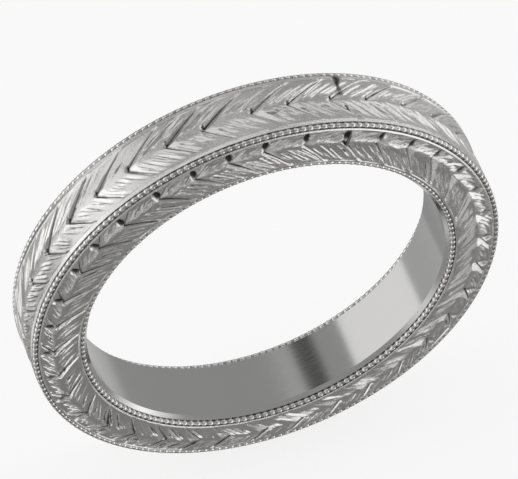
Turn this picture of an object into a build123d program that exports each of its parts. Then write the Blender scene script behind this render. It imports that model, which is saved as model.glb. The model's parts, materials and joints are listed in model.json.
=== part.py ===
from build123d import *
import os

os.makedirs("parts", exist_ok=True)

# A hand-engraved wedding band, standing on its rim. The finger hole runs along Y and its
# centre is the origin; +Z is up and -Y is the front. Lengths are in millimetres. Angles are
# in degrees, from +X at 0 up to +Z at 90, as seen from the front.

# the band
bore_radius = 8.5  # finger hole, 17.0 mm across
wall = 2.55  # finger hole to engraved outer face
outer_width = 3.24  # front to back at the outer corners
hole_width = 3.60  # front to back round the finger hole; the side faces slope between the two
rim_bevel = 0.16  # 45 degree break where the finger hole opens

# the beaded wires along its corners
outer_bead = 0.26  # bead diameter of the two rows on the outer corners
inner_bead = 0.25  # bead diameter of the two rows round the finger hole
seat_flat = 0.025  # taken off a wire's round on each of the two sides that it is soldered by

# where strip and wires were closed into rings
seam_angle = 68.7  # soldered seam of the shank
seam_gap = 0.12
wire_joint_angle = 72.5  # soldered joints of the four wires
wire_joint_gap = 0.10

outer_radius = bore_radius + wall
half_outer = outer_width / 2
half_hole = hole_width / 2

# a wire sits in a step with a floor, across the band, and a wall, round the band
outer_seat_depth = outer_bead - seat_flat
inner_seat_depth = inner_bead - seat_flat
outer_seat_radius = outer_radius - outer_seat_depth
inner_seat_radius = bore_radius + rim_bevel + inner_seat_depth


def closed_ring(section):
    """A section drawn in X (radius) and Y (across the band), carried once round the finger."""
    return revolve(section, Axis.Y)


def part_at_joint(ring, angle, gap):
    """Saw a ring through at an angle: the open ring, and the solder that fills the cut."""
    slot = Pos(bore_radius + wall / 2, 0, 0) * Box(1.5 * wall, 2 * hole_width, gap)
    slot = Rot(0, -angle, 0) * slot
    return ring - slot, ring & slot


def shank_section():
    """The strip: bore, bevels, a step for each of the four wires, sloped sides and outer face."""
    front_half = [
        (bore_radius, half_hole - inner_seat_depth - rim_bevel),
        (bore_radius + rim_bevel, half_hole - inner_seat_depth),
        (inner_seat_radius, half_hole - inner_seat_depth),
        (inner_seat_radius, half_hole),
        (outer_seat_radius, half_outer),
        (outer_seat_radius, half_outer - outer_seat_depth),
        (outer_radius, half_outer - outer_seat_depth),
    ]
    back_half = [(radius, -across) for radius, across in reversed(front_half)]
    return make_face(Polyline(*front_half, *back_half, close=True))


def wire_section(bead, centre_radius, half_width, wall_side, face_side):
    """A round wire with a flat against the step's wall and a flat against its floor.

    half_width is how far the corner that it stands in lies from the middle of the band.
    wall_side is -1 where the wall is on the finger's side of the wire and 1 where it is
    outside it; face_side is -1 at the front face and 1 at the back face.
    """
    centre_across = face_side * (half_width - bead / 2)
    round_wire = Pos(centre_radius, centre_across) * Circle(bead / 2)
    kept_radius = centre_radius - wall_side * seat_flat
    kept_across = centre_across + face_side * seat_flat
    return round_wire & Pos(kept_radius, kept_across) * Rectangle(bead, bead)


shank, seam_solder = part_at_joint(closed_ring(shank_section()), seam_angle, seam_gap)
nodes = {"engraved_shank": shank, "shank_seam_solder": seam_solder}

rows = {
    "outer": (outer_bead, outer_radius - outer_bead / 2, half_outer, -1),
    "inner": (inner_bead, bore_radius + rim_bevel + inner_bead / 2, half_hole, 1),
}
wire_solder = []
for face, face_side in (("front", -1), ("back", 1)):
    for row, (bead, centre_radius, half_width, wall_side) in rows.items():
        section = wire_section(bead, centre_radius, half_width, wall_side, face_side)
        wire, solder = part_at_joint(closed_ring(section), wire_joint_angle, wire_joint_gap)
        nodes[f"{face}_{row}_milgrain_wire"] = wire
        wire_solder.append(solder)
nodes["milgrain_wire_solder"] = Compound(children=wire_solder)

for name, shape in nodes.items():
    export_step(shape, f"parts/{name}.step")
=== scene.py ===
# %% [markdown]
# # A hand-engraved wedding band
#
# The object is a ring of white precious metal. Its sides slope, so that it is widest round the finger
# hole. Its outer face and both side faces carry wheat ears cut with a graver, a row of tiny beads
# (milgrain) runs along each corner, and the finger hole is polished. The CAD frame holds the plain
# solids: a strip closed by a soldered seam, and four wires seated in steps at its corners. This
# script cuts the engraving and raises the beads.
#
# It begins by loading that frame. Everything below is in metres, in the frame's own coordinates.

# %% Load the frame
import json
import math

import bpy
import numpy as np
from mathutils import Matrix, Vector


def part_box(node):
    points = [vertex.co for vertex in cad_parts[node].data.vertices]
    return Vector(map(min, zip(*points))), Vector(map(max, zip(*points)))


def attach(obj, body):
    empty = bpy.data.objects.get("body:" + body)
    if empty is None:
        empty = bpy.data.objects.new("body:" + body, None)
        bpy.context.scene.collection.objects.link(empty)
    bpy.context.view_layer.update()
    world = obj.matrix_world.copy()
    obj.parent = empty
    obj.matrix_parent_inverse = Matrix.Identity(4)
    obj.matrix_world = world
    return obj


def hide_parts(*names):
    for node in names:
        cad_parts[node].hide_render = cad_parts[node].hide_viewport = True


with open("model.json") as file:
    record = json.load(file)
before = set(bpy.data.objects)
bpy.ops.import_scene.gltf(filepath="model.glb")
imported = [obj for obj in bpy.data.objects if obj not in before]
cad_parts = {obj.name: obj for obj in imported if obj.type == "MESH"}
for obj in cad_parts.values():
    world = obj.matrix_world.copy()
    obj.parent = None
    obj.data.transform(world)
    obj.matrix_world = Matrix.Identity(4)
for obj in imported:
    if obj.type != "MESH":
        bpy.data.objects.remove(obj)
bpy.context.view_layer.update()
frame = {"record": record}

# %% [markdown]
# ## Sizes, read from the frame
#
# The band stands on its rim with the finger hole along Y. A point on it is told by three numbers: its
# radius from the Y axis, its place across the band (Y), and its angle round the band, from +X at 0 up
# to +Z at a quarter turn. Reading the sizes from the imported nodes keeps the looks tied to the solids:
# if the CAD changes, the engraving and the beads follow.

# %% Sizes
MM = 0.001
_, strip_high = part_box("engraved_shank")
outer_radius = strip_high[2]
half_hole = strip_high[1]

finger_bore = next(m for m in frame["record"]["mounts"] if m["name"] == "finger_bore")
bore_radius = finger_bore["dims"]["r_mm"] * MM
bore_length = finger_bore["dims"]["length_mm"] * MM

# each wire's box gives the step that it sits in
outer_wire_low, outer_wire_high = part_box("front_outer_milgrain_wire")
inner_wire_low, inner_wire_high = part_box("front_inner_milgrain_wire")
outer_seat_depth = outer_wire_high[1] - outer_wire_low[1]
inner_seat_depth = inner_wire_high[1] - inner_wire_low[1]
outer_seat_radius = outer_radius - outer_seat_depth
inner_seat_radius = inner_wire_high[0]
rim_bevel = half_hole - inner_seat_depth - bore_length / 2

# the side faces slope: the band is widest round the finger hole
half_outer = -outer_wire_low[1]  # the front face lies towards -Y
side_slope = (half_hole - half_outer) / (outer_seat_radius - inner_seat_radius)

seat_flat = 0.025 * MM  # taken off a wire's round where it is soldered down
outer_bead = outer_seat_depth + seat_flat
inner_bead = inner_seat_depth + seat_flat

seam_low, seam_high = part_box("shank_seam_solder")
seam_middle = [(low + high) / 2 for low, high in zip(seam_low, seam_high)]
seam_angle = math.atan2(seam_middle[2], seam_middle[0])

print("outer radius %.2f, bore %.2f, width %.2f to %.2f mm" % (
    outer_radius / MM, bore_radius / MM, 2 * half_outer / MM, 2 * half_hole / MM))
print("beads %.2f and %.2f mm, seam at %.1f degrees" % (
    outer_bead / MM, inner_bead / MM, math.degrees(seam_angle)))

# %% [markdown]
# ## Putting a worked-out surface into a mesh
#
# Every surface here is worked out as whole numpy arrays, because a formula over a grid is exact, quick
# and easy to change. Sculpting or booleans could also cut the pattern, but hundreds of graver strokes
# would be slow that way and would leave ragged meshes.
#
# A ring-shaped piece is a closed section carried once round the finger. That makes a grid that joins
# up with itself both ways, so the shell has no seam to close and no pole.

# %% Mesh helpers
def band_points(radius, across, angle):
    """Radius, place across and angle to X, Y, Z: X and Z are the radius times the angle's cosine
    and sine, and Y is the place across the band."""
    radius, across, angle = np.broadcast_arrays(radius, across, angle)
    return np.stack([radius * np.cos(angle), across, radius * np.sin(angle)], axis=-1)


def enclosed_volume(points, quads):
    """The sum over the faces of the volume between each face and the origin. It is positive when
    the faces point outwards."""
    a, b, c, d = (points[quads[:, k]] for k in range(4))
    return float(np.einsum("ij,ij->", a, np.cross(b, c) + np.cross(c, d))) / 6


def make_piece(name, points, quads, cut, sharp_degrees=28):
    """A mesh object at the origin from points (n, 3) and quads (m, 4). cut is how deep each point
    lies in the work, 0 on the surface to 1 at the bottom of a cut; the materials paint shade and dirt
    by it. Where a quad's last two corners are the same point, it goes in as a triangle."""
    volume = enclosed_volume(points, quads)
    if volume < 0:
        quads = quads[:, ::-1]
    corner_count = np.where(quads[:, 0] == quads[:, 3], 3, 4)
    corners = quads.ravel()[np.repeat(corner_count == 4, 4) | np.tile([True] * 3 + [False], len(quads))]
    mesh = bpy.data.meshes.new(name)
    mesh.vertices.add(len(points))
    mesh.vertices.foreach_set("co", points.astype(np.float32).ravel())
    mesh.loops.add(len(corners))
    mesh.loops.foreach_set("vertex_index", corners.astype(np.int32))
    mesh.polygons.add(len(quads))
    starts = np.concatenate([[0], np.cumsum(corner_count)[:-1]])
    mesh.polygons.foreach_set("loop_start", starts.astype(np.int32))
    mesh.polygons.foreach_set("use_smooth", np.ones(len(quads), dtype=bool))
    mesh.attributes.new("cut", "FLOAT", "POINT").data.foreach_set("value", cut.astype(np.float32).ravel())
    mesh.update(calc_edges=True)
    mesh.validate()
    mesh.set_sharp_from_angle(angle=math.radians(sharp_degrees))
    piece = bpy.data.objects.new(name, mesh)
    bpy.context.collection.objects.link(piece)
    print("%s: %d triangles, %.2f mm3" % (
        name, int(corner_count.sum() - 2 * len(quads)), abs(volume) / MM ** 3))
    return piece


def ring_quads(section_count, around_count):
    """The faces of a grid of section points by places round the band, joined up both ways."""
    i, j = np.meshgrid(np.arange(section_count), np.arange(around_count), indexing="ij")
    i, j = i.ravel(), j.ravel()
    i_next, j_next = (i + 1) % section_count, (j + 1) % around_count
    return np.stack([i * around_count + j, i_next * around_count + j,
                     i_next * around_count + j_next, i * around_count + j_next], axis=1)


def replace_node(piece, node):
    """The piece rides on the one body, and the CAD node that it stands for is hidden."""
    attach(piece, "root")
    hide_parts(node)


# %% [markdown]
# ## How a wheat ear is cut
#
# An engraver lays the pattern out as a row of V shapes whose points all face the same way. Each V is
# two leaves that meet on the middle line. Along the front edge of each leaf goes one deep cut, made
# with the graver leaned over, so that one side of the cut is a steep wall and the other a broad
# slope. Six or eight lighter cuts of the same kind then flute the leaf behind it, and a short deep
# nick beside each point makes the dark spot that gives the ear its rhythm. The cuts and nicks are
# also darkened in colour, as painted shade.
#
# The two halves of an ear are not mirror twins. The engraver holds the ring one way, so the leaves of
# one half reach further back, and the light cuts of the far half can lean the other way. Each half
# therefore has its own width, reach, lean and place for its first light cut.
#
# All of it is a depth over two distances: `along`, round the band, and `off`, from the middle line.
# The front edge of a leaf is a curve that falls back from its point by `sweep(off)`, so
# `behind = point - along - sweep(off)` is zero on that edge and grows back over the leaf. Every cut
# is then a simple function of `behind` and `off`. Hand work is never even, so each cut has its own
# small errors in place, lean and depth, drawn once from a seeded generator.

# %% The engraver's cuts
def smooth_step(x):
    """0 below 0, 1 above 1, and the smooth curve 3x^2 - 2x^3 between."""
    x = np.clip(x, 0, 1)
    return x * x * (3 - 2 * x)


def leaned_cut(back, width, depth):
    """Depth at a distance back from a cut's deepest line: on the side that it leans to it rises in
    a straight slope over its width, and on the other in a wall five times as steep."""
    slope = depth * (1 - back / width)
    wall = depth * (1 + 5 * back / width)
    return np.minimum(slope, wall)


def draw_errors(ear):
    """The errors of the hand for every leaf, side and cut, as shares of the sizes they change."""
    draw = np.random.default_rng(ear["seed"])
    each_leaf = ear["leaves"]
    each_side = (each_leaf, 2)
    each_cut = (each_leaf, 2, ear["cuts"])
    return {
        "place": draw.normal(0, 0.05, each_leaf),
        "off_line": draw.normal(0, 0.03, each_leaf),
        "press": draw.uniform(0.7, 1.25, each_side),
        "tilt": draw.normal(0, 1, each_side),
        "cut_place": draw.normal(0, 0.17, each_cut),
        "cut_press": draw.uniform(0.25, 1.25, each_cut),
        "cut_lean": draw.normal(0, 0.12, each_cut),
        "cut_start": draw.uniform(0.0, 0.22, each_cut),
        "cut_end": draw.uniform(0.6, 1.1, each_cut),
    }


def place_in_half(off, ear):
    """Which half of the ear a distance off its middle line lies in, 0 or 1, and its share of that
    half's width, from 0 on the middle line to 1 at the edge of the wheat."""
    half = (off > 0).astype(int)
    return half, np.abs(off) / np.array(ear["widths"])[half]


def sweep(half, share, ear):
    """How far the front edge of a leaf has fallen back from its point: reach times share ** curve."""
    return np.array(ear["reaches"])[half] * share ** ear["curve"]


def in_nick(from_point, off, nick):
    """How far down a short deep nick beside each point a place is, from 0 to 1: the smooth curve
    of an oval's distance from its middle."""
    from_middle = np.hypot((from_point - nick["back"]) / nick["half_width"],
                           (off - nick["off"]) / nick["half_length"])
    return smooth_step(1.4 - from_middle)


def nick_strength(turn_share, nick):
    """How strongly a nick is pressed, by its share of a turn round the band: 1 where the work was
    begun, falling by a cosine to the weakest opposite."""
    round_band = 0.5 + 0.5 * np.cos(2 * math.pi * turn_share - nick["strongest_at"])
    return nick["weakest"] + (1 - nick["weakest"]) * round_band


def cut_wheat(along, off, ear, length):
    """Depth of the wheat ears, in metres, at a distance along the band and off its middle line,
    and the painted shade in their cuts, from 0 on the surface to 1 at the bottom of a nick.

    For the leaf that a place lies on, and those just ahead, each cut's distance from the place is
    worked out, then its depth there. The deepest cut is what the graver leaves."""
    hand = draw_errors(ear)
    leaves = ear["leaves"]
    pitch = length / leaves
    point = (np.arange(leaves) + ear["phase"] + hand["place"]) * pitch
    first_cut = np.array(ear["first_cut"])
    cut_space = (pitch - first_cut) / ear["cuts"]
    leans = np.array(ear["leans"])

    depth, shade_and_dirt = np.zeros_like(along), np.zeros_like(along)
    here = np.floor(along / pitch - ear["phase"]).astype(int)
    for ahead in range(-1, ear["overlap"] + 1):
        turns, leaf = np.divmod(here + ahead, leaves)
        half, share = place_in_half(off - hand["off_line"][leaf] * ear["widths"][0], ear)
        from_point = point[leaf] + turns * length - along
        behind = from_point - sweep(half, share, ear)
        fade = smooth_step((1.02 - share) / 0.15)

        # the leaf as a whole dips towards its front edge, each a little differently
        on_leaf = smooth_step(behind / (0.1 * pitch)) * smooth_step((pitch - behind) / (0.05 * pitch))
        dip = ear["dip"] * (1 - behind / pitch + 0.5 * hand["tilt"][leaf, half] * share)
        leaf_depth = dip * on_leaf

        # the deep cut along the front edge, widest and deepest at the point
        press = hand["press"][leaf, half]
        front_width = ear["front_width"] * (1 - 0.55 * share)
        front_depth = ear["front_depth"] * press * (1 - 0.6 * smooth_step(share))
        front_line = np.maximum(leaned_cut(behind, front_width, 1), 0) * (share < 1.02) * fade
        nick = in_nick(from_point, off, ear["nick"]) * nick_strength(point[leaf] / length, ear["nick"])
        front = np.maximum(front_depth * front_line, ear["nick"]["depth"] * press * nick)
        # the front cut and the nick are darkened in colour: painted shade
        shade_and_dirt = np.maximum(shade_and_dirt, np.maximum(0.85 * front_line ** 3, nick))

        # the lighter cuts behind it
        light = np.zeros_like(depth)
        for k in range(ear["cuts"]):
            pick = (leaf, half, k)
            place = first_cut[half] + (k + hand["cut_place"][pick]) * cut_space[half]
            back = behind - place - hand["cut_lean"][pick] * sweep(half, share, ear)
            start, end = hand["cut_start"][pick], hand["cut_end"][pick]
            stroke = smooth_step((share - start) / 0.2) * smooth_step((end - share) / 0.35)
            line = np.maximum(leaned_cut(leans[half] * back, ear["cut_width"] * cut_space[half], 1), 0)
            light = np.maximum(light, ear["cut_depth"] * hand["cut_press"][pick] * line * stroke)
            # each light cut is darkened in colour too: painted shade
            shade_and_dirt = np.maximum(shade_and_dirt, 0.75 * line ** 3 * stroke * fade * hand["cut_press"][pick])

        depth = np.maximum(depth, np.maximum(front, leaf_depth + light * fade))
    return depth, shade_and_dirt


# %% [markdown]
# ## Laying the grid along the cuts
#
# A straight grid would cross the slanting cuts and leave their edges ragged, like stairs. So each
# column of the grid is swept back by the same curve as the leaves: the grid's lines then run along the
# cuts, and a cut's edge stays a clean line with far fewer faces.
#
# Between the wheat and the beads runs a plain bright-cut line: a bevel that falls away towards the
# beads, with painted shade in the corner where it meets them. The face with its cuts is a skin: the
# cut surface on top, and plain walls and a back that are buried in the strip. That keeps every mesh
# closed and under the limit on triangles.

# %% The skin of an engraved face
skin_thickness = 0.35 * MM
border_wall = 0.03 * MM
smudge_depth = 0.04 * MM
smudge_dirt = 0.8
# painted shade: the corner beside the beads is darkened in colour
corner_shade = 0.55  # beside the beads
corner_width = 0.01 * MM


def rows_across(ear, half_face, rows):
    """Places across the face, from one edge to the other: even over the wheat, with rows of their
    own at the foot, middle and top of each border line."""
    low, high = ear["spine"] - ear["widths"][0], ear["spine"] + ear["widths"][1]
    wheat = np.linspace(low, high, rows - 6)
    low_foot, high_foot = low - border_wall, high + border_wall
    return np.concatenate([
        [-half_face, (low_foot - half_face) / 2, low_foot], wheat,
        [high_foot, (high_foot + half_face) / 2, half_face]])


def swept_grid(ear, half_face, rows, columns, length):
    """Rows across the face and columns round the band, each swept back by the leaf's curve."""
    across = rows_across(ear, half_face, rows)[:, None]
    half, share = place_in_half(across - ear["spine"], ear)
    start = np.arange(columns)[None, :] * length / columns
    return start - sweep(half, np.minimum(share, 1), ear), across + 0 * start


def seam_smudge(along, across, ear, length):
    """How strongly the soldered seam has sunk and smeared, from 0 to 1. It is strongest towards the
    far edge, and its middle and width wander by sine waves."""
    seam_place = seam_angle / (2 * math.pi) * length
    waver = np.sin(across / (0.31 * MM) + 0.6) + 0.5 * np.sin(across / (0.11 * MM))
    from_seam = (along - seam_place - 0.06 * MM * waver + length / 2) % length - length / 2
    half = 0.27 * MM * (1 + 0.35 * np.sin(across / (0.17 * MM)))
    near, far = ear["seam"]
    near_to_far = near + (far - near) * smooth_step(across / half_outer + 0.4)
    return near_to_far * smooth_step(1.15 - np.abs(from_seam) / half)


def face_depth(along, across, ear, half_face, length):
    """Wheat ears, the bright-cut line along each border and the smudge at the seam, as a depth and a
    darkening: painted shade in the cuts and beside the beads, and dirt in the seam's smudge."""
    off = across - ear["spine"]
    wheat, shade_and_dirt = cut_wheat(along, off, ear, length)
    low_foot = half_face + ear["spine"] - ear["widths"][0] - border_wall
    high_foot = half_face - ear["spine"] - ear["widths"][1] - border_wall
    foot = np.where(off > 0, high_foot, low_foot)
    from_edge = half_face - np.abs(across)
    bevel = ear["border_depth"] * np.clip(1 - from_edge / foot, 0, 1)
    half, share = place_in_half(off, ear)
    smudge = seam_smudge(along, across, ear, length) * (from_edge > 0)
    on_wheat = share < 1.01
    depth = np.maximum(np.where(on_wheat, wheat, bevel), smudge_depth * smudge)
    # painted shade in the corner where the border meets the beads
    shade_beside_beads = corner_shade * (from_edge < corner_width)
    shade_and_dirt = np.maximum(np.maximum(shade_and_dirt * on_wheat, smudge_dirt * smudge), shade_beside_beads)
    return depth, np.clip(shade_and_dirt, 0, 1)


def close_the_skin(surface_radius, surface_across, buried_radius, buried_across):
    """The engraved rows, and then the buried back from the last row's side to the first's."""
    plain = np.ones((1, surface_radius.shape[1]))
    radius = np.concatenate([surface_radius] + [r * plain for r in buried_radius])
    across = np.concatenate([surface_across] + [a * plain for a in buried_across])
    return radius, across


# %% [markdown]
# ## The outer face
#
# The outer face is the widest, so its leaves are the longest. Its depths are taken off the radius. An
# ear is a short list of sizes, so a wider leaf or a lighter hand is one number to change.

# %% Engrave the outer face
outer_ear = {
    "leaves": 36, "phase": 0.26, "seed": 11, "overlap": 2,
    "spine": 0.0, "widths": (1.17 * MM, 1.17 * MM), "reaches": (1.35 * MM, 2.0 * MM), "curve": 1.08,
    "front_width": 0.60 * MM, "front_depth": 0.15 * MM, "dip": 0.03 * MM, "border_depth": 0.030 * MM,
    "cuts": 8, "first_cut": (0.24 * MM, 0.56 * MM), "cut_width": 1.15, "cut_depth": 0.070 * MM,
    "leans": (1, -1), "seam": (0.0, 1.0),
    "nick": {"back": 0.10 * MM, "off": 0.10 * MM, "half_width": 0.07 * MM, "half_length": 0.13 * MM,
             "depth": 0.14 * MM, "strongest_at": 0.0, "weakest": 1.0},
}


def engrave_outer_face(name, rows=51, columns=1680):
    """The outer face as a closed skin: radius is the outer radius less the depth of the cuts."""
    length = 2 * math.pi * outer_radius
    half_face = half_outer - outer_seat_depth
    along, across = swept_grid(outer_ear, half_face, rows, columns, length)
    depth, cut = face_depth(along, across, outer_ear, half_face, length)
    radius, across = close_the_skin(
        outer_radius - depth, across,
        [outer_radius - skin_thickness] * 2, [half_face, -half_face])
    angle = np.concatenate([along, along[-1:], along[:1]]) / outer_radius
    cut = np.concatenate([cut, cut[-1:], cut[:1]])
    points = band_points(radius, across, angle).reshape(-1, 3)
    return make_piece(name, points, ring_quads(rows + 2, columns), cut)


outer_face = engrave_outer_face("shank_outer_face")

# %% [markdown]
# ## The two side faces
#
# The side faces slope by about five degrees, so they are very shallow cones. Here the depth is taken
# off the place across the band, and the distance off the middle line is a radius. The nicks are
# strongest near the top and fade to a quarter at the bottom. The back face is worked like the front
# one, in the same direction round the ring, with errors of its own.

# %% Engrave the side faces
side_ear = {
    "leaves": 36, "phase": 0.065, "overlap": 2,
    "spine": 0.20 * MM, "widths": (1.06 * MM, 0.66 * MM), "reaches": (1.3 * MM, 0.8 * MM), "curve": 1.05,
    "front_width": 0.60 * MM, "front_depth": 0.17 * MM, "dip": 0.03 * MM, "border_depth": 0.03 * MM,
    "cuts": 6, "first_cut": (0.24 * MM, 0.30 * MM), "cut_width": 1.15, "cut_depth": 0.070 * MM,
    "leans": (1, 1), "seam": (0.0, 0.0),
    "nick": {"back": 0.12 * MM, "off": 0.34 * MM, "half_width": 0.16 * MM, "half_length": 0.28 * MM,
             "depth": 0.20 * MM, "strongest_at": math.radians(105), "weakest": 0.25},
}


def side_face_across(radius):
    """How far the plain side face lies from the middle of the band, at a radius."""
    return half_hole - side_slope * (radius - inner_seat_radius)


def engrave_side_face(name, facing, seed, rows=45, columns=1500):
    """A side face as a closed skin: its place across is the plain face's less the depth of the
    cuts. facing is -1 for the front and 1 for the back."""
    ear = dict(side_ear, seed=seed)
    middle_radius = (inner_seat_radius + outer_seat_radius) / 2
    half_face = (outer_seat_radius - inner_seat_radius) / 2
    length = 2 * math.pi * middle_radius
    along, off = swept_grid(ear, half_face, rows, columns, length)
    depth, cut = face_depth(along, off, ear, half_face, length)
    radius, across = close_the_skin(
        middle_radius + off, facing * (side_face_across(middle_radius + off) - depth),
        [outer_seat_radius, inner_seat_radius],
        [facing * (side_face_across(buried) - skin_thickness)
         for buried in (outer_seat_radius, inner_seat_radius)])
    angle = np.concatenate([along, along[-1:], along[:1]]) / middle_radius
    cut = np.concatenate([cut, cut[-1:], cut[:1]])
    points = band_points(radius, across, angle).reshape(-1, 3)
    return make_piece(name, points, ring_quads(rows + 2, columns), cut)


front_face = engrave_side_face("shank_front_face", facing=-1, seed=5)
back_face = engrave_side_face("shank_back_face", facing=1, seed=8)

# %% [markdown]
# ## The body of the strip
#
# What is left of the strip is plain: the polished bore, the bevels at its mouths and the steps that the
# wires sit in. It is one section carried round. The bore of a worn or hand-polished ring is never quite
# a true cylinder, so its wall is hollowed by a few thousandths of a millimetre, which bends the
# reflections gently.

# %% The strip's body
bore_wave = 0.003 * MM
# painted shade: the corners of the steps that hold the wires are darkened in colour
step_shade = 0.25
step_corners = [2, 3, 5, 8, 10, 11]  # in the order of strip_section


def strip_section():
    """The section's corners, as radius and place across, from the front mouth of the bore round."""
    step = skin_thickness * 0.9
    front_half = [
        (bore_radius, half_hole - inner_seat_depth - rim_bevel),
        (bore_radius + rim_bevel, half_hole - inner_seat_depth),
        (inner_seat_radius, half_hole - inner_seat_depth),
        (inner_seat_radius, half_hole - step),
        (outer_seat_radius, half_outer - step),
        (outer_seat_radius, half_outer - outer_seat_depth),
        (outer_radius - step, half_outer - outer_seat_depth),
    ]
    back_half = [(radius, -across) for radius, across in reversed(front_half)]
    return np.array(front_half + back_half)


def make_strip(name, columns=360, bore_rows=13):
    """The section carried round, with extra rows on the bore, whose radius waves by a few microns."""
    corners = strip_section()
    bore_across = np.linspace(corners[-1, 1], corners[0, 1], bore_rows)[1:-1]
    radius = np.concatenate([corners[:, 0], np.full(bore_rows - 2, bore_radius)])
    across = np.concatenate([corners[:, 1], bore_across])
    angle = np.arange(columns) * 2 * math.pi / columns
    wave = bore_wave * (np.sin(5 * angle + 0.7) + 0.6 * np.sin(11 * angle))
    on_bore = np.concatenate([np.zeros(len(corners)), np.sin(np.linspace(0, math.pi, bore_rows))[1:-1]])
    radius_grid = radius[:, None] + on_bore[:, None] * np.abs(wave)[None, :]
    points = band_points(radius_grid, across[:, None], angle[None, :]).reshape(-1, 3)
    # the step corners are darkened in colour as painted shade
    in_step = np.zeros(len(radius))
    in_step[step_corners] = step_shade
    cut = np.repeat(in_step[:, None], columns, axis=1)
    return make_piece(name, points, ring_quads(len(radius), columns), cut)


strip = make_strip("shank_body")
for piece in (outer_face, front_face, back_face, strip):
    replace_node(piece, "engraved_shank")

# %% [markdown]
# ## Milgrain
#
# Milgrain is a row of beads rolled up out of the metal or out of a thin wire with a small knurled
# wheel. Each bead is a low sphere, and where two meet there is a neck, darkened in colour as painted
# shade. A sphere with a few dozen faces is plenty at this size. Its poles point along the row, where
# the necks hide them. The wire that carries the beads is a thin core inside them, sitting on the
# step, and it is coloured dark as painted shade between the beads.
#
# One wheel serves both rows, so they share a pitch of 0.34 mm, and the longer outer row simply holds
# more beads. A thinner core leaves deeper, darker necks.

# %% Bead rows
bead_jitter = 0.035  # of the pitch
smallest_bead = 0.94
bead_half_length = 0.51  # of the pitch, so that neighbours just meet
# painted shade: the core between the beads is coloured dark
core_shade = 0.95


def bead_grid(segments, rings):
    """A unit sphere as rings between two poles, as points and quads. The poles are on its third
    axis. A quad with a repeated corner closes each pole."""
    turn = np.arange(segments) * 2 * math.pi / segments
    tip = np.linspace(0, math.pi, rings + 2)[1:-1]
    body = np.stack([np.outer(np.sin(tip), np.cos(turn)), np.outer(np.sin(tip), np.sin(turn)),
                     np.outer(np.cos(tip), np.ones(segments))], axis=-1).reshape(-1, 3)
    points = np.concatenate([body, [[0, 0, 1]], [[0, 0, -1]]])
    top, bottom = len(body), len(body) + 1
    s, s_next = np.arange(segments), (np.arange(segments) + 1) % segments
    quads = [np.stack([r * segments + s, (r + 1) * segments + s,
                       (r + 1) * segments + s_next, r * segments + s_next], axis=1)
             for r in range(rings - 1)]
    last = (rings - 1) * segments
    caps = [np.stack([np.full(segments, top), s, s_next, np.full(segments, top)], axis=1),
            np.stack([np.full(segments, bottom), last + s_next, last + s,
                      np.full(segments, bottom)], axis=1)]
    return points, np.concatenate(quads + caps)


def bead_row(name, centre_radius, centre_across, bead, count, core_share, seed):
    """A row of beads with its core. Each bead is the unit sphere times the bead's radius, drawn out
    along the row to meet its neighbours, and set on the wire's centre line."""
    draw = np.random.default_rng(seed)
    unit, unit_quads = bead_grid(segments=10, rings=5)
    angle = (np.arange(count) + draw.normal(0, bead_jitter, count)) * 2 * math.pi / count
    size = bead / 2 * draw.uniform(smallest_bead, 1.0, count)
    pitch = 2 * math.pi * centre_radius / count
    stretch = bead_half_length * pitch
    radius = centre_radius + size[:, None] * unit[None, :, 0]
    across = centre_across + size[:, None] * unit[None, :, 1]
    turn = angle[:, None] + stretch / centre_radius * unit[None, :, 2]
    beads = band_points(radius, across, turn).reshape(-1, 3)
    quads = (unit_quads[None] + len(unit) * np.arange(count)[:, None, None]).reshape(-1, 4)
    # the necks near each bead's poles are darkened in colour as painted shade
    from_axis = np.hypot(unit[:, 0], unit[:, 1])
    cut = np.tile(1 - smooth_step((from_axis - 0.45) / 0.4), count)

    sides, columns = 8, 240
    round_core = np.arange(sides) * 2 * math.pi / sides
    core_angle = np.arange(columns) * 2 * math.pi / columns
    core_radius = core_share * bead / 2
    core = band_points(
        (centre_radius + core_radius * np.cos(round_core))[:, None],
        (centre_across + core_radius * np.sin(round_core))[:, None],
        core_angle[None, :]).reshape(-1, 3)
    core_quads = ring_quads(sides, columns)[:, ::-1] + len(beads)
    return make_piece(
        name, np.concatenate([beads, core]), np.concatenate([quads, core_quads]),
        np.concatenate([cut, np.full(len(core), core_shade)]), sharp_degrees=75)


bead_rows = {  # centre radius, centre across, bead, count, the core's share of a bead
    "outer": (outer_radius - outer_bead / 2, half_outer - outer_bead / 2, outer_bead, 203, 0.84),
    "inner": (bore_radius + rim_bevel + inner_bead / 2, half_hole - inner_bead / 2, inner_bead, 162, 0.78),
}
milgrain = []
for face, facing in (("front", -1), ("back", 1)):
    for row, (centre_radius, centre_across, bead, count, core_share) in bead_rows.items():
        piece = bead_row("%s_%s_beads" % (face, row), centre_radius, facing * centre_across, bead, count,
                         core_share, seed=len(milgrain) + 21)
        replace_node(piece, "%s_%s_milgrain_wire" % (face, row))
        milgrain.append(piece)

# %% [markdown]
# ## Solder
#
# The seam of the strip is a thin wall of solder that runs right through it. It wears and polishes a
# little lower than the metal on each side, so it shows as a dark line, and the smudge that was cut
# above spreads from it. Each wire has a joint of its own beside it, where a small lump of solder fills
# the gap between two beads.

# %% The soldered seam and the wire joints
seam_dirt = 0.8
lump_dirt = 0.55
lump_share = 0.93  # of a bead's radius
lump_half_length = 0.16 * MM


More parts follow.
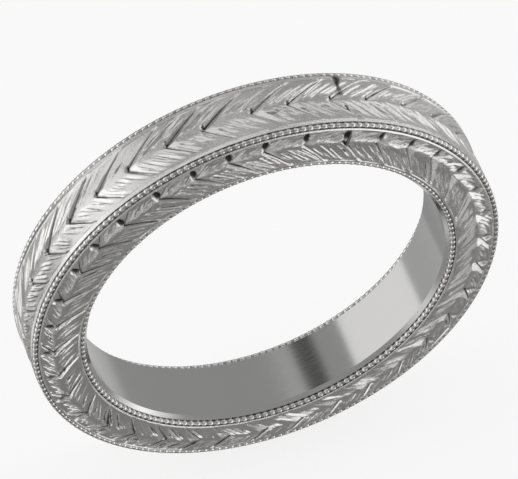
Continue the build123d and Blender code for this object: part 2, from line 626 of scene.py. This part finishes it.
def seam_wall(name, sunk=0.045 * MM, half_gap=0.06 * MM, rows=9, layers=19):
    """A closed wall across the strip: the section's outline shrunk by the depth that the solder
    has sunk, on both sides of the seam's plane."""
    low_radius, high_radius = bore_radius + sunk / 3, outer_radius - sunk
    step_radius = np.linspace(low_radius, high_radius, layers)
    side_across = np.minimum(side_face_across(step_radius), half_hole) - sunk
    share_across = np.linspace(-1, 1, rows)
    loop = np.concatenate([
        np.stack([step_radius, -side_across], axis=1)[:-1],
        np.stack([np.full(rows, high_radius), side_across[-1] * share_across], axis=1)[:-1],
        np.stack([step_radius[::-1], side_across[::-1]], axis=1)[:-1],
        np.stack([np.full(rows, low_radius), -side_across[0] * share_across], axis=1)[:-1]])
    # the corners stay inside the steps that hold the wires
    near_outer = loop[:, 0] > outer_seat_radius
    near_inner = loop[:, 0] < inner_seat_radius
    outer_limit = half_outer - outer_seat_depth
    loop[near_outer, 1] = np.clip(loop[near_outer, 1], -outer_limit, outer_limit)
    loop[near_inner, 1] = np.clip(loop[near_inner, 1], -bore_length / 2, bore_length / 2)
    count = len(loop)
    middle = loop.mean(axis=0, keepdims=True)
    rings = np.concatenate([middle, loop])
    points = np.concatenate([
        band_points(rings[:, 0], rings[:, 1], seam_angle + side * half_gap / rings[:, 0])
        for side in (-1, 1)])
    k = np.arange(count)
    k_next = (k + 1) % count
    other = count + 1
    walls = np.stack([1 + k, 1 + k_next, other + 1 + k_next, other + 1 + k], axis=1)
    near_cap = np.stack([0 * k, 1 + k_next, 1 + k, 0 * k], axis=1)
    far_cap = np.stack([0 * k + other, other + 1 + k, other + 1 + k_next, 0 * k + other], axis=1)
    quads = np.concatenate([walls, near_cap, far_cap])
    return make_piece(name, points, quads, np.full(len(points), seam_dirt))


def joint_lumps(name, joints):
    """One lump of solder for each joint: a flattened unit sphere between two beads."""
    unit, unit_quads = bead_grid(segments=12, rings=7)
    joint_low, joint_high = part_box("milgrain_wire_solder")
    joint_angle = math.atan2(joint_low[2] + joint_high[2], joint_low[0] + joint_high[0])
    points, quads = [], []
    for centre_radius, centre_across, bead in joints:
        half = bead / 2 * lump_share
        points.append(band_points(
            centre_radius + half * unit[:, 0], centre_across + half * unit[:, 1],
            joint_angle + lump_half_length / centre_radius * unit[:, 2]))
        quads.append(unit_quads + len(unit) * (len(points) - 1))
    points = np.concatenate(points)
    return make_piece(
        name, points, np.concatenate(quads), np.full(len(points), lump_dirt), sharp_degrees=75)


seam = seam_wall("seam_solder")
replace_node(seam, "shank_seam_solder")
lumps = joint_lumps("wire_joint_solder", [
    (centre_radius, facing * centre_across, bead)
    for facing in (-1, 1) for centre_radius, centre_across, bead, _, _ in bead_rows.values()])
replace_node(lumps, "milgrain_wire_solder")

# %% [markdown]
# ## Finishes
#
# The metal is one alloy, but three hands have worked on it. The graver leaves bright facets and deep
# cuts, which are darkened in colour as painted shade. The beads are burnished by the wheel. The bore is
# polished on a felt stick, which leaves fine lines round it. Two effects are shared, so each is a node
# group: one darkens and dulls the cuts by the `cut` attribute, as painted shade (and as dirt at the
# seam and the solder), and one gives fine marks that follow the band.

# %% Shared node groups
def new_group(name, inputs, outputs):
    """An empty shader node group with float inputs and the outputs named."""
    group = bpy.data.node_groups.new(name, "ShaderNodeTree")
    for socket, default in inputs.items():
        added = group.interface.new_socket(socket, in_out="INPUT", socket_type="NodeSocketFloat")
        added.default_value = default
    for socket, kind in outputs.items():
        group.interface.new_socket(socket, in_out="OUTPUT", socket_type=kind)
    return group, group.nodes.new("NodeGroupInput"), group.nodes.new("NodeGroupOutput")


def add_math(tree, operation, *values):
    """A math node on numbers or sockets. Returns its result."""
    node = tree.nodes.new("ShaderNodeMath")
    node.operation = operation
    for socket, value in zip(node.inputs, values):
        if isinstance(value, (int, float)):
            socket.default_value = value
        else:
            tree.links.new(value, socket)
    return node.outputs[0]


def add_node(tree, kind, links=None, **settings):
    """A node with some settings, and sockets given by name: a value is set, a socket is linked."""
    node = tree.nodes.new(kind)
    for key, value in settings.items():
        setattr(node, key, value)
    for key, value in (links or {}).items():
        if isinstance(value, bpy.types.NodeSocket):
            tree.links.new(value, node.inputs[key])
        else:
            node.inputs[key].default_value = value
    return node


def make_cut_shade_and_dirt():
    """Painted shade and dirt: 0 on the surface, rising to 1 in the cuts from Start on, broken up by noise.
    """
    group, given, result = new_group(
        "painted shade and dirt in the cuts", {"Start": 0.35, "Full": 0.9}, {"Shade and dirt": "NodeSocketFloat"})
    depth = add_node(group, "ShaderNodeAttribute", attribute_name="cut")
    place = add_node(group, "ShaderNodeTexCoord")
    patches = add_node(group, "ShaderNodeTexNoise",
                       {"Vector": place.outputs["Object"], "Scale": 2600.0, "Detail": 3.0})
    centred = add_math(group, "SUBTRACT", patches.outputs["Fac"], 0.5)
    shifted = add_math(group, "ADD", depth.outputs["Fac"], add_math(group, "MULTIPLY", centred, 0.5))
    shade_and_dirt = add_node(group, "ShaderNodeMapRange", {
        "Value": shifted, "From Min": given.outputs["Start"], "From Max": given.outputs["Full"]},
        interpolation_type="SMOOTHSTEP")
    group.links.new(shade_and_dirt.outputs["Result"], result.inputs["Shade and dirt"])
    return group


def make_band_marks():
    """Fine marks in coordinates that follow the band: angle round it, place across and radius.
    Round is how many marks there are a turn, and Across how many a metre the other ways."""
    group, given, result = new_group(
        "marks round the band", {"Round": 60.0, "Across": 9000.0}, {"Marks": "NodeSocketFloat"})
    place = add_node(group, "ShaderNodeTexCoord")
    split = add_node(group, "ShaderNodeSeparateXYZ", {"Vector": place.outputs["Object"]})
    x, y, z = split.outputs
    angle = add_math(group, "ARCTAN2", z, x)
    squares = add_math(group, "ADD", add_math(group, "MULTIPLY", x, x), add_math(group, "MULTIPLY", z, z))
    radius = add_math(group, "SQRT", squares)
    follow = add_node(group, "ShaderNodeCombineXYZ", {
        "X": add_math(group, "MULTIPLY", angle, given.outputs["Round"]),
        "Y": add_math(group, "MULTIPLY", y, given.outputs["Across"]),
        "Z": add_math(group, "MULTIPLY", radius, given.outputs["Across"])})
    marks = add_node(group, "ShaderNodeTexNoise", {
        "Vector": follow.outputs["Vector"], "Scale": 1.0, "Detail": 4.0, "Roughness": 0.6})
    group.links.new(marks.outputs["Fac"], result.inputs["Marks"])
    return group


cut_shade_and_dirt = make_cut_shade_and_dirt()
band_marks = make_band_marks()

# %% [markdown]
# The four finishes differ only in colour, roughness, how much painted shade and dirt they take and
# how their marks run, so one function builds them. The cut metal is painted nearly black in its cuts,
# as shade, and has the coarsest marks. The beads are rubbed clean, and their necks and core are
# painted only a duller grey, as shade. The bore's colour is darker than the rest of the alloy, as
# painted shade inside the ring, and its marks are long and very fine, as a felt stick leaves them.
# The solder is a darker, yellower alloy with a filed surface.

# %% Metal finishes
marks_in_roughness = 0.16


def make_metal(name, colour, shade_and_dirt_colour, roughness, shade_and_dirt_roughness, shade_and_dirt_from, shade_and_dirt_full,
               marks_a_turn, marks_a_metre, marks_height):
    """A metal whose colour darkens and roughness rises with the cuts, as painted shade and dirt, with a
    fine bump.
    """
    material = bpy.data.materials.new(name)
    material.use_nodes = True
    tree = material.node_tree
    shader = tree.nodes["Principled BSDF"]
    shader.inputs["Metallic"].default_value = 1.0
    shade_and_dirt = add_node(tree, "ShaderNodeGroup", node_tree=cut_shade_and_dirt)
    shade_and_dirt.inputs["Start"].default_value = shade_and_dirt_from
    shade_and_dirt.inputs["Full"].default_value = shade_and_dirt_full
    marks = add_node(tree, "ShaderNodeGroup", node_tree=band_marks)
    marks.inputs["Round"].default_value = marks_a_turn
    marks.inputs["Across"].default_value = marks_a_metre
    tint = add_node(tree, "ShaderNodeMix", data_type="RGBA")
    tree.links.new(shade_and_dirt.outputs["Shade and dirt"], tint.inputs["Factor"])
    clean_socket, shade_and_dirt_socket = [socket for socket in tint.inputs if socket.type == "RGBA"]
    clean_socket.default_value = (*colour, 1)
    shade_and_dirt_socket.default_value = (*shade_and_dirt_colour, 1)
    tinted = next(socket for socket in tint.outputs if socket.type == "RGBA")
    tree.links.new(tinted, shader.inputs["Base Color"])
    dull = add_node(tree, "ShaderNodeMapRange", {
        "Value": shade_and_dirt.outputs["Shade and dirt"], "To Min": roughness, "To Max": shade_and_dirt_roughness})
    centred = add_math(tree, "SUBTRACT", marks.outputs["Marks"], 0.5)
    uneven = add_math(tree, "MULTIPLY", centred, marks_in_roughness)
    tree.links.new(add_math(tree, "ADD", dull.outputs["Result"], uneven), shader.inputs["Roughness"])
    bump = add_node(tree, "ShaderNodeBump", {
        "Height": marks.outputs["Marks"], "Strength": 1.0, "Distance": marks_height})
    tree.links.new(bump.outputs["Normal"], shader.inputs["Normal"])
    return material


# nearly black: painted shade in the cuts, and dirt at the seam and on the solder
black_dirt_and_shade = (0.05, 0.047, 0.043)
finishes = {
    "graver-cut metal": make_metal(
        "graver_cut_metal", colour=(0.73, 0.72, 0.705), shade_and_dirt_colour=black_dirt_and_shade,
        roughness=0.13, shade_and_dirt_roughness=0.5, shade_and_dirt_from=0.26, shade_and_dirt_full=0.88,
        marks_a_turn=170.0, marks_a_metre=15000.0, marks_height=0.015 * MM),
    # the beads' darker colour is painted shade at their necks and on the core
    "burnished beads": make_metal(
        "burnished_beads", colour=(0.78, 0.77, 0.755), shade_and_dirt_colour=(0.24, 0.235, 0.23),
        roughness=0.16, shade_and_dirt_roughness=0.40, shade_and_dirt_from=0.60, shade_and_dirt_full=1.2,
        marks_a_turn=300.0, marks_a_metre=15000.0, marks_height=0.0006 * MM),
    # the bore's colour is darker than the rest of the alloy, as painted shade inside the ring; its darker
    # colour in the step corners is painted shade too
    "felt-polished bore with painted shade": make_metal(
        "felt_polished_bore_with_painted_shade", colour=(0.62, 0.615, 0.61), shade_and_dirt_colour=(0.06, 0.057, 0.053),
        roughness=0.13, shade_and_dirt_roughness=0.45, shade_and_dirt_from=0.3, shade_and_dirt_full=0.9,
        marks_a_turn=14.0, marks_a_metre=16000.0, marks_height=0.0004 * MM),
    "filed solder": make_metal(
        "filed_solder", colour=(0.36, 0.35, 0.33), shade_and_dirt_colour=black_dirt_and_shade,
        roughness=0.36, shade_and_dirt_roughness=0.5, shade_and_dirt_from=0.5, shade_and_dirt_full=1.2,
        marks_a_turn=500.0, marks_a_metre=24000.0, marks_height=0.0015 * MM),
}
pieces_by_finish = {
    "graver-cut metal": (outer_face, front_face, back_face),
    "burnished beads": milgrain,
    "felt-polished bore with painted shade": (strip,),
    "filed solder": (seam, lumps),
}
for finish, pieces in pieces_by_finish.items():
    for piece in pieces:
        piece.data.materials.append(finishes[finish])
print("finishes:", ", ".join(finishes))

# %% [markdown]
# ## Floor, light and camera
#
# Polished metal shows nothing but what is around it, so the light is a tent: a plain grey surround
# with soft cards in it, written into the world as directions. A bright window low on the left behind
# the ring lights its left shoulder and the right side of the bore, and a dark gap over that window
# draws the dark line in the bore. A card with a level below zero is a dark one, and takes light away.
# The floor is a pale light table, which hides the shadow.

# %% The floor
floor_half = 1.5
floor_glow = 0.775
floor_mesh = bpy.data.meshes.new("pale_floor")
floor_mesh.from_pydata([(x * floor_half, y * floor_half, -outer_radius)
                        for x, y in ((-1, -1), (1, -1), (1, 1), (-1, 1))], [], [(0, 1, 2, 3)])
floor = bpy.data.objects.new("pale_floor", floor_mesh)
bpy.context.collection.objects.link(floor)
floor.visible_glossy = False

floor_paper = bpy.data.materials.new("light_table")
floor_paper.use_nodes = True
paper = floor_paper.node_tree.nodes["Principled BSDF"]
paper.inputs["Base Color"].default_value = (0.30, 0.30, 0.30, 1)
paper.inputs["Roughness"].default_value = 0.9
paper.inputs["Specular IOR Level"].default_value = 0.0
paper.inputs["Emission Color"].default_value = (1, 1, 1, 1)
paper.inputs["Emission Strength"].default_value = floor_glow
floor_mesh.materials.append(floor_paper)

# %% The light tent
def make_card_group():
    """How strongly a card fills a direction: 1 inside its spread, falling to 0 over its softness.
    It compares the cosine of the angle between the direction and the card's middle."""
    group, given, result = new_group(
        "card in the tent", {"Near": 0.9, "Far": 0.8, "Level": 1.0}, {"Light": "NodeSocketFloat"})
    group.interface.new_socket("Direction", in_out="INPUT", socket_type="NodeSocketVector")
    group.interface.new_socket("Middle", in_out="INPUT", socket_type="NodeSocketVector")
    dot = add_node(group, "ShaderNodeVectorMath", operation="DOT_PRODUCT")
    group.links.new(given.outputs["Direction"], dot.inputs[0])
    group.links.new(given.outputs["Middle"], dot.inputs[1])
    filled = add_node(group, "ShaderNodeMapRange", {
        "Value": dot.outputs["Value"], "From Min": given.outputs["Far"], "From Max": given.outputs["Near"]},
        interpolation_type="SMOOTHSTEP")
    light = add_math(group, "MULTIPLY", filled.outputs["Result"], given.outputs["Level"])
    group.links.new(light, result.inputs["Light"])
    return group


def towards(azimuth, elevation):
    """The direction to a place in the tent. Azimuth 0 is behind the ring and 90 on its right."""
    a, e = math.radians(azimuth), math.radians(elevation)
    return (math.sin(a) * math.cos(e), math.cos(a) * math.cos(e), math.sin(e))


tent_grey = 0.46
backdrop = (0.93, 0.93, 0.93, 1)  # what the camera sees past the floor
cards = {  # azimuth, elevation, spread and softness in degrees, level
    "window, left behind": (-53.5, 11, 23, 3, 0.80),
    "low, left behind": (-53.5, -32, 17, 3, 0.18),
    "low, right behind": (42, -38, 4, 20, 0.24),
    "soft card, left": (-98, 0, 26, 12, 1.10),
    "soft card, right": (90, 4, 24, 8, 1.05),
    "upper right": (75, 42, 12, 6, 0.95),
    "sweep, behind": (22, -8, 22, 6, 0.50),
    "dark corner, left behind": (-25, -19, 15, 6, -0.44),
    "high, behind": (1, 29, 10, 6, 0.45),
    "ceiling, left": (-30, 76, 16, 8, 0.65),
    "upper left": (-74, 50, 14, 6, 0.60),
    "table, left": (-75, -48, 18, 6, 0.95),
    "front, right": (140, -12, 22, 6, 1.20),
    "front, left": (-165, -30, 9, 5, 0.70),
    "ceiling strip": (65, 64, 7, 4, 0.60),
    "over the camera": (-150, 72, 12, 8, -0.30),
    "dark gap over the window": (-26.5, 50, 2, 6, -0.36),
    "dark table, below": (165, -55, 18, 14, -0.15),
    "dark front, below": (171, -38, 6, 12, -0.09),
}

world = bpy.data.worlds.new("light_tent")
bpy.context.scene.world = world
world.use_nodes = True
tent = world.node_tree
tent.nodes.clear()
direction = add_node(tent, "ShaderNodeTexCoord").outputs["Generated"]
card_group = make_card_group()
light = tent_grey
for title, (azimuth, elevation, spread, softness, level) in cards.items():
    card = add_node(tent, "ShaderNodeGroup", node_tree=card_group, label=title)
    tent.links.new(direction, card.inputs["Direction"])
    card.inputs["Middle"].default_value = towards(azimuth, elevation)
    card.inputs["Near"].default_value = math.cos(math.radians(spread))
    card.inputs["Far"].default_value = math.cos(math.radians(spread + softness))
    card.inputs["Level"].default_value = level
    light = add_math(tent, "ADD", light, card.outputs["Light"])
seen = add_node(tent, "ShaderNodeBackground", {"Color": backdrop, "Strength": 1.0})
lit = add_node(tent, "ShaderNodeBackground", {"Strength": add_math(tent, "MAXIMUM", light, 0.0)})
path = add_node(tent, "ShaderNodeLightPath")
choose = add_node(tent, "ShaderNodeMixShader", {
    0: path.outputs["Is Camera Ray"], 1: lit.outputs[0], 2: seen.outputs[0]})
add_node(tent, "ShaderNodeOutputWorld", {"Surface": choose.outputs[0]})

# %% The camera
camera_azimuth = math.radians(-18.96)
camera_elevation = math.radians(51.63)
camera_distance = 233.9 * MM
camera_lens = 361.2  # millimetres, on a 36 mm sensor
aim_right = 0.094 * MM
aim_up = 1.286 * MM

camera_data = bpy.data.cameras.new("camera")
camera_data.lens = camera_lens
camera_data.clip_start = 0.01
camera_data.clip_end = 10.0  # metres
camera = bpy.data.objects.new("camera", camera_data)
bpy.context.collection.objects.link(camera)
back = np.array([math.sin(camera_azimuth) * math.cos(camera_elevation),
                 -math.cos(camera_azimuth) * math.cos(camera_elevation), math.sin(camera_elevation)])
right = np.array([math.cos(camera_azimuth), math.sin(camera_azimuth), 0.0])
up = np.cross(back, right)
place = back * camera_distance
aim = right * aim_right + up * aim_up
camera.location = Vector(place)
camera.rotation_mode = "QUATERNION"
camera.rotation_quaternion = (Vector(aim) - Vector(place)).to_track_quat("-Z", "Y")
bpy.context.scene.camera = camera

bpy.context.scene.view_settings.view_transform = "Standard"
